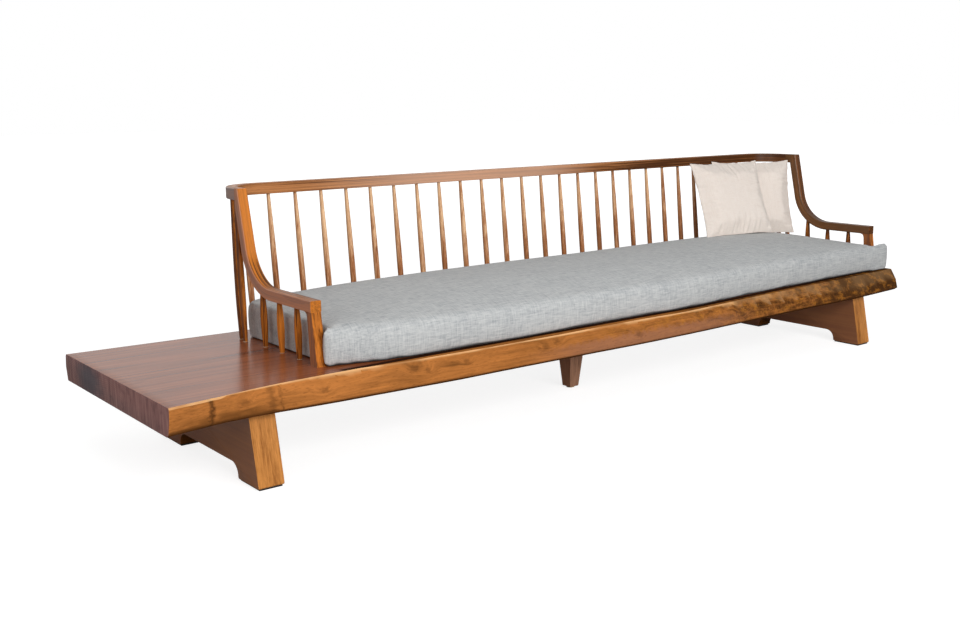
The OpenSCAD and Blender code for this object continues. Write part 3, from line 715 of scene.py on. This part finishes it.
def remeshed(node, voxel):
    """A copy of a CAD node with an even mesh."""
    work = placed(node + "_even", into_mesh(merged(node), node + "_even"))
    remesh = work.modifiers.new("even", "REMESH")
    remesh.mode = "VOXEL"
    remesh.voxel_size = voxel
    return evaluated(work)


def puffed(mesh, name, pressure, cap, frames=20, stiff=15.0, shrink=0.0):
    """The mesh filled with air as cloth. No point moves further than the cap."""
    start = [v.co.copy() for v in mesh.vertices]
    work = placed(name, mesh)
    cloth = work.modifiers.new("cloth", "CLOTH")
    cloth.settings.quality = 5
    cloth.settings.mass = 0.3
    cloth.settings.tension_stiffness = stiff
    cloth.settings.compression_stiffness = stiff
    cloth.settings.shear_stiffness = stiff / 3
    cloth.settings.bending_stiffness = 0.4
    cloth.settings.shrink_min = shrink
    cloth.settings.use_pressure = True
    cloth.settings.uniform_pressure_force = pressure
    cloth.settings.effector_weights.gravity = 0.0
    cloth.collision_settings.use_collision = False
    for at in range(1, frames + 1):
        bpy.context.scene.frame_set(at)
    made = evaluated(work)
    bpy.context.scene.frame_set(1)
    for vertex, before in zip(made.vertices, start):
        move = vertex.co - before
        if move.length > cap:
            vertex.co = before + move.normalized() * cap
    return made


class SOFA_OT_slab(bpy.types.Operator):
    """Make the live-edge slab"""

    bl_idname = "sofa.slab"
    bl_label = "Slab"

    def swing(self, spot, ripple):
        """How far a point of the live edge moves back, with the waves, knots and checks."""
        wave = noise.noise(Vector((spot.x * 7, spot.z * 9, 0)))
        wave += 0.5 * noise.noise(Vector((spot.x * 22, spot.z * 25, 4)))
        knot = 0.0
        for at, high, size in KNOTS:
            away = ((spot.x - at) / KNOT_STRETCH) ** 2 + (spot.z - high) ** 2
            knot += math.exp(-away / (2 * (1.6 * size) ** 2)) * size
        split = sum(
            0.0035 * deep * max(0.0, 1 - abs(spot.x - at) / wide) for at, wide, deep in CHECKS)
        return ripple * wave - 0.12 * knot + split + 0.0008

    def execute(self, context):
        wood = context.scene.sofa_wood
        low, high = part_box("slab")
        rim, slices = 0.004, 120
        shape = flat_sided("slab")
        ends = [e for e in sharp_edges(shape, 30)
                if max(abs(f.normal.x) for f in e.link_faces) > 0.8
                > min(abs(f.normal.x) for f in e.link_faces)
                and min(abs(v.co.x) for v in e.verts) > 1.6]
        rounded(shape, ends, rim, 2)

        # Cuts across the slab and along its live edge give the edge points to move
        cuts = [low.x + (high.x - low.x) * i / slices for i in range(1, slices)]
        for at, wide, _ in CHECKS:
            cuts += [at - wide, at - wide / 2, at, at + wide / 2, at + wide]
        for at in cuts:
            bmesh.ops.bisect_plane(
                shape, geom=shape.verts[:] + shape.edges[:] + shape.faces[:], dist=MERGE,
                plane_co=(at, 0, 0), plane_no=(1, 0, 0))
        for at in (0.287, 0.272, 0.248, 0.236):
            faces = [f for f in shape.faces if max(v.co.y for v in f.verts) < LIVE_EDGE]
            front = set(faces)
            edges = [e for e in shape.edges if front.intersection(e.link_faces)]
            verts = [v for v in shape.verts if front.intersection(v.link_faces)]
            bmesh.ops.bisect_plane(
                shape, geom=verts + edges + faces, dist=MERGE, plane_co=(0, 0, at),
                plane_no=(0, 0, 1))
        for vertex in shape.verts:
            spot = vertex.co
            if spot.y < LIVE_EDGE and low.x + rim < spot.x < high.x - rim:
                spot.y += self.swing(spot, wood.ripple)
        soften(shape, 40)
        show(into_mesh(shape, "live_edge_slab"), "live_edge_slab", "frame", "slab_wood",
             slab_finish(wood), "slab")
        return {"FINISHED"}


class SOFA_OT_legs(bpy.types.Operator):
    """Finish the plank legs, the centre leg and what they stand on"""

    bl_idname = "sofa.legs"
    bl_label = "Legs"

    def execute(self, context):
        wood = context.scene.sofa_wood
        # The plank legs get painted shade on their broad sides and towards their rear feet
        plank = varnished(
            "leg_wood", wood.leg_light, wood.leg_dark, plank_grain, wood.varnish, bold=0.9,
            lines=0.15, shade=(1, -0.15, 0.25, 0.9), side=wood.leg_side_shade)
        for side in ("left", "right"):
            node = side + "_plank_leg"
            shape = eased(node, 0.0025, lambda spot: spot.z < LEG_TOP, foot=0.013)
            name = side + "_plank"
            show(into_mesh(shape, name), name, "frame", "leg_wood", plank, node)
        # Painted light on the centre leg's faces towards the left
        stub = varnished(
            "centre_leg_wood", wood.stub_light, wood.stub_dark, upright_grain, wood.varnish,
            painted_left_light=(0.7, "dull leg"))
        shape = eased("centre_leg", 0.002, lambda spot: spot.z < LEG_TOP)
        show(into_mesh(shape, "centre_foot"), "centre_foot", "frame", "centre_leg_wood", stub,
             "centre_leg")
        dress(speckled("leg_pad", "rubber", 900, 2, 0.2, 0.7, 0.0004, 0.5),
              "left_leg_pads", "right_leg_pads")
        dress(speckled("glide", "glide", 400, 3, 0.2, 0.4, 0.0002, 0.3), "centre_leg_glide")
        return {"FINISHED"}


class SOFA_OT_rails(bpy.types.Operator):
    """Finish the crest rail, the arms and the dowels that join them"""

    bl_idname = "sofa.rails"
    bl_label = "Crest rail and arms"

    def execute(self, context):
        wood = context.scene.sofa_wood
        # Painted shade towards the right, a painted highlight on the middle and painted light on
        # faces towards the left
        crest = varnished(
            "rail_wood", wood.rail_light, wood.rail_dark, crest_grain, wood.varnish,
            shade=(0, -0.6, 1.5, 0.28), rail_highlight=wood.rail_highlight, painted_left_light=(0.7, "dull rail"),
            painted_left_light_till=-0.8, width=0.6, bold=2.0, lines=0.8)
        dress(crest, "crest_rail")
        for side in ("left", "right"):
            # Painted shade towards the right and painted light on faces towards the left
            arm = varnished(
                "arm_wood_" + side, wood.turned_light, wood.rail_dark, arm_grain(side),
                wood.varnish, shade=(0, 0.0, 1.0, 0.58), painted_left_light=(0.65, "dull " + side + " arm"),
                width=0.55, bold=2.0, lines=1.0, calm=0.45)
            dress(arm, side + "_arm")
        dowel = varnished("dowel_wood", mark("dowel"), mark("dowel, dark"), upright_grain, 0.6)
        dress(dowel, "plank_leg_dowels", "crest_dowels", "armrest_dowels")
        return {"FINISHED"}


class SOFA_OT_spindles(bpy.types.Operator):
    """Finish the spindles and the front posts"""

    bl_idname = "sofa.spindles"
    bl_label = "Spindles and posts"

    def execute(self, context):
        wood = context.scene.sofa_wood
        # Painted shade towards the right and painted light on faces towards the left
        back = varnished(
            "spindle_wood", wood.back_light, wood.back_dark, upright_grain, wood.varnish,
            width=0.5, bold=1.0, lines=0.4, shade=(0, -0.4, 1.2, 0.20),
            painted_left_light=(0.25, "dull spindle"), gloss=0.15, foot=0.36)
        dress(back, *nodes_named("back_spindle"))
        # Painted light on faces towards the left
        corner = varnished(
            "corner_spindle_wood", wood.turned_light, wood.turned_dark, upright_grain,
            wood.varnish, width=0.5, bold=1.2, lines=0.4, painted_left_light=(0.75, "dull corner"), gloss=0.05)
        dress(corner, *nodes_named("corner_spindle"))
        # Painted shade towards the right
        arm = varnished(
            "arm_spindle_wood", wood.turned_light, wood.turned_dark, upright_grain,
            wood.varnish, width=0.5, bold=1.2, lines=0.4, shade=(0, 0.0, 1.0, 0.35), gloss=0.0)
        dress(arm, *nodes_named("arm_spindle"))
        # Painted light on faces towards the left
        post = varnished(
            "post_wood", wood.turned_light, wood.turned_dark, upright_grain, wood.varnish,
            width=0.6, bold=1.4, lines=0.5, painted_left_light=(0.5, "dull post"))
        for side in ("left", "right"):
            node, name = side + "_front_post", side + "_post"
            shape = eased(node, 0.0022, lambda spot: DECK + 0.001 < spot.z < ARMREST)
            show(into_mesh(shape, name), name, "frame", "post_wood", post, node)
        self.beads()
        return {"FINISHED"}

    def beads(self):
        """A thin pale bead round each spindle's foot."""
        rings = bmesh.new()
        for node in nodes_named("spindle"):
            at = axis_at(node, DECK)
            reach = 0.0078 if "back" in node or "corner" in node else 0.0072
            start = bmesh.ops.create_circle(rings, segments=8, radius=0.0011)["verts"]
            bmesh.ops.rotate(rings, verts=start, cent=(0, 0, 0),
                             matrix=Matrix.Rotation(math.pi / 2, 3, "X"))
            bmesh.ops.translate(rings, verts=start, vec=at + Vector((reach, 0, 0)))
            edges = list({e for v in start for e in v.link_edges})
            bmesh.ops.spin(rings, geom=start + edges, cent=at, axis=(0, 0, 1), angle=math.tau,
                           steps=24, use_merge=True)
        bmesh.ops.remove_doubles(rings, verts=rings.verts, dist=MERGE)
        bmesh.ops.recalc_face_normals(rings, faces=rings.faces)
        soften(rings, 60)
        pale_bead = speckled(
            "pale_foot_bead", "pale_bead", 260, 2, 0.15, 0.25, 0.0004, 0.5, Coat_Weight=0.5)
        show(into_mesh(rings, "foot_beads"), "foot_beads", "frame", "spindle_wood", pale_bead)


class SOFA_OT_cushion(bpy.types.Operator):
    """Make the seat cushion"""

    bl_idname = "sofa.cushion"
    bl_label = "Seat cushion"

    def settle(self, spot, low):
        """Moves a point of the filled cushion: a light wave and a fuller top under the pillows,
        a right front corner that is drawn out past the post, and an underside that lies flat
        with a nearly square edge."""
        clear, edge, crown, post_line = 0.0005, 0.030, 0.36, -0.262
        if spot.z > crown:
            wave = noise.noise(Vector((spot.x * 2.3, spot.y * 4.5, 1.0))) * 0.003
            full = math.exp(-((spot.x - 1.30) / 0.35) ** 2 - ((spot.y - 0.15) / 0.25) ** 2)
            spot.z += wave + 0.004 * full - 0.001
        if spot.y < post_line:
            spot.x += 0.026 * min(1.0, max(0.0, (spot.x - 1.54) / 0.14)) ** 2
        above = max(spot.z - low.z, clear)
        spot.z = low.z + (max(clear, above ** 2 / edge) if above < edge else above)
        spot.x = max(spot.x, low.x + 0.001)

    def execute(self, context):
        cloth = context.scene.sofa_cloth
        node = "seat_cushion"
        mesh = puffed(remeshed(node, 0.014), "seat_cushion_filling", 3.0, 0.006)
        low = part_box(node)[0]
        for vertex in mesh.vertices:
            self.settle(vertex.co, low)
        # Its faces that turn down are painted near black, as shade
        fabric = woven("cushion_fabric", cloth.seat_light, cloth.seat_dark, cloth.seat_thread,
                       0.12, under=mark("underside_shade"))
        piece = show_soft(mesh, "seat_cushion_cover", "cushion", "cushion_fabric", fabric, node)
        return {"FINISHED"}


class SOFA_OT_pillows(bpy.types.Operator):
    """Make the two throw pillows"""

    bl_idname = "sofa.pillows"
    bl_label = "Pillows"

    def bag(self, seed):
        """Two square sheets sewn at their edges and filled: one pillow that lies at the origin.
        seed makes its folds its own."""
        wide, tall, thick = PILLOW_SIZE
        cloth_cut = 1.06
        shape = bmesh.new()
        steps = 56
        bmesh.ops.create_grid(shape, x_segments=steps, y_segments=steps, size=0.5)
        sheet = shape.verts[:] + shape.edges[:] + shape.faces[:]
        twin = bmesh.ops.duplicate(shape, geom=sheet)["geom"]
        bmesh.ops.reverse_faces(
            shape, faces=[f for f in twin if isinstance(f, bmesh.types.BMFace)])
        behind = {v for v in twin if isinstance(v, bmesh.types.BMVert)}
        for vertex in shape.verts:
            u, v = vertex.co.x * 2, vertex.co.y * 2
            seam = max(abs(u), abs(v)) > 0.999
            rise = 0.0 if seam else 0.02 + 0.5 * (1 - u ** 4) * (1 - v ** 4)
            vertex.co.z = (-rise if vertex in behind else rise) * thick * 0.55
        bmesh.ops.remove_doubles(shape, verts=shape.verts, dist=MERGE)
        bmesh.ops.scale(shape, vec=(wide * cloth_cut, tall * cloth_cut, 1.0), verts=shape.verts)
        mesh = into_mesh(shape, "pillow_bag")
        flat = [(v.co.x / (wide * cloth_cut / 2), v.co.y / (tall * cloth_cut / 2))
                for v in mesh.vertices]
        mesh = puffed(mesh, "pillow_filling", 5.0, 0.05, frames=24, stiff=12.0, shrink=-0.02)
        low = Vector([min(v.co[i] for v in mesh.vertices) for i in range(3)])
        high = Vector([max(v.co[i] for v in mesh.vertices) for i in range(3)])
        for vertex, (u, v) in zip(mesh.vertices, flat):
            spot = vertex.co - (low + high) / 2
            for i in range(3):
                spot[i] *= PILLOW_SIZE[i] / (high - low)[i]
            vertex.co = self.sewn(spot, u, v, seed)
        return mesh

    def sewn(self, spot, u, v, seed):
        """A point of the filled bag with its edges drawn straight, its hem uneven, and folds
        and puckers towards the seams. u and v are its place on the flat sheet, from -1 to 1."""
        wide, tall = PILLOW_SIZE[:2]
        straight = 0.85
        spot.x += (u * (wide / 2 - 0.008 * (1 - v * v)) - spot.x) * straight
        drawn = 0.007 * (1 - u * u) if v > 0 else -0.002 * (1 - u * u)
        spot.y += (v * (tall / 2 - drawn) - spot.y) * straight
        hem = noise.noise(Vector((u * 7, v * 7, seed + 9))) * 0.0022
        hem += noise.noise(Vector((u * 19, v * 19, seed + 2))) * 0.0032
        spot.x += hem * abs(u) ** 6
        spot.y += hem * abs(v) ** 6 * (v > 0)
        fold = noise.noise(Vector((spot.x * 11, spot.y * 14, seed)))
        fold += 0.6 * noise.noise(Vector((spot.x * 26, spot.y * 21, seed + 5)))
        pucker = noise.noise(Vector((v * 15, seed, 1.0))) * abs(u) ** 5
        pucker += noise.noise(Vector((u * 15, seed, 5.0))) * abs(v) ** 5
        spot.z *= (1.0 - 0.06 * abs(fold)) * (1.0 + 1.1 * pucker)
        return spot

    def execute(self, context):
        cloth = context.scene.sofa_cloth
        fabric = woven("pillow_fabric", cloth.pillow_light, cloth.pillow_dark,
                       cloth.pillow_thread, 0.2, slub=0.35)
        upright = (Matrix.Translation((0, 0, PILLOW_SIZE[1] / 2))
                   @ Matrix.Rotation(math.radians(90), 4, "X"))
        for seed, (which, (at, turn, lean)) in enumerate(PILLOW_PLACES.items()):
            mesh = self.bag(seed * 3.0)
            stance = (Matrix.Translation(at) @ Matrix.Rotation(math.radians(turn), 4, "Z")
                      @ Matrix.Rotation(math.radians(-lean), 4, "X"))
            mesh.transform(stance @ upright)
            node = which + "_pillow"
            piece = show_soft(mesh, node + "_cover", node + "_body", "pillow_fabric", fabric, node)
        return {"FINISHED"}


class SOFA_OT_stage(bpy.types.Operator):
    """Make the floor, the lights and the camera"""

    bl_idname = "sofa.stage"
    bl_label = "Studio"

    def execute(self, context):
        room = context.scene.sofa_room
        self.floor(room)
        self.sky(context, room)
        for name, at, aim, size, part in LAMPS:
            light = bpy.data.lights.new(name, "AREA")
            light.shape = "RECTANGLE"
            light.size, light.size_y = size
            light.energy = room.key * part
            lamp = placed(name, light)
            turn = (Vector(aim) - Vector(at)).to_track_quat("-Z", "Y").to_matrix().to_4x4()
            lamp.matrix_world = Matrix.Translation(at) @ turn
            lamp.visible_glossy = name != "back"
        view = bpy.data.cameras.new("photo_view")
        view.lens, view.sensor_width = LENS, SENSOR
        eye = placed("photo_view", view)
        eye.matrix_world = (
            Matrix.Translation(EYE) @ Matrix.Rotation(-EYE_TURN, 4, "Z")
            @ Matrix.Rotation(math.pi / 2 - EYE_DOWN, 4, "X")
            @ Matrix.Rotation(-EYE_ROLL, 4, "Z"))
        context.scene.camera = eye
        context.scene.view_settings.view_transform = "Standard"
        return {"FINISHED"}

    def floor(self, room):
        """A wide floor that the camera sees nearly white, so that only the shadow shows."""
        shape = bmesh.new()
        bmesh.ops.create_grid(shape, x_segments=4, y_segments=4, size=30)
        floor = placed("floor", into_mesh(shape, "floor"))
        paper = Finish("floor_paper", Roughness=0.9)
        mottle = paper.noise([c * 3 for c in paper.place()], detail=2)
        paper.paint(paper.ramp(mottle, (0.3, darkened(room.floor, 0.02)), (0.7, room.floor)))
        x, y = paper.place()[:2]
        far = ((x ** 2.0 + y ** 2.0) ** 0.5).step(2.6, 7.0)
        glow = paper.node("ShaderNodeEmission", inputs={
            "Color": (1.0, 1.0, 1.0), "Strength": paper.ray("Camera") * (far * 0.24 + 0.82)})
        both = paper.node("ShaderNodeAddShader", inputs={
            0: Value(paper.tree, paper.shader.outputs[0]), 1: glow})
        paper.feed(paper.tree.nodes["Material Output"].inputs["Surface"], both)
        floor.data.materials.append(paper.material)

    def sky(self, context, room):
        """A white background for the camera and for reflections, and a weak fill light."""
        world = bpy.data.worlds.new("studio")
        world.use_nodes = True
        context.scene.world = world
        sky = Nodes(world.node_tree)
        white = sky.ray("Camera").math("MAXIMUM", sky.ray("Glossy"))
        white = white.math("MAXIMUM", sky.ray("Transmission"))
        ground = sky.tree.nodes["Background"]
        sky.feed(ground.inputs["Strength"], white * (1.0 - room.fill) + room.fill)
        sky.feed(ground.inputs["Color"], (1.0, 1.0, 1.0))


class SOFA_PT_panel(bpy.types.Panel):
    """Lists the pieces of the sofa and what can be changed on them"""

    bl_label = "Slab sofa"
    bl_idname = "SOFA_PT_panel"
    bl_space_type = "VIEW_3D"
    bl_region_type = "UI"
    bl_category = "Slab sofa"

    def draw(self, context):
        for group in (context.scene.sofa_wood, context.scene.sofa_cloth, context.scene.sofa_room):
            box = self.layout.box()
            for key in group.__annotations__:
                box.prop(group, key)
        for step in STEPS:
            self.layout.operator(step.bl_idname)


STEPS = (
    SOFA_OT_stage, SOFA_OT_slab, SOFA_OT_legs, SOFA_OT_rails, SOFA_OT_spindles,
    SOFA_OT_cushion, SOFA_OT_pillows)
GROUPS = {"sofa_wood": SofaWood, "sofa_cloth": SofaCloth, "sofa_room": SofaRoom}


def register():
    for kind in (*GROUPS.values(), *STEPS, SOFA_PT_panel):
        bpy.utils.register_class(kind)
    for name, kind in GROUPS.items():
        setattr(bpy.types.Scene, name, bpy.props.PointerProperty(type=kind))


def unregister():
    for name in GROUPS:
        delattr(bpy.types.Scene, name)
    for kind in reversed((*GROUPS.values(), *STEPS, SOFA_PT_panel)):
        bpy.utils.unregister_class(kind)


def main():
    """Makes every piece in order."""
    register()
    for step in STEPS:
        area, name = step.bl_idname.split(".")
        getattr(getattr(bpy.ops, area), name)()
    bpy.context.view_layer.update()


if __name__ == "__main__":
    main()
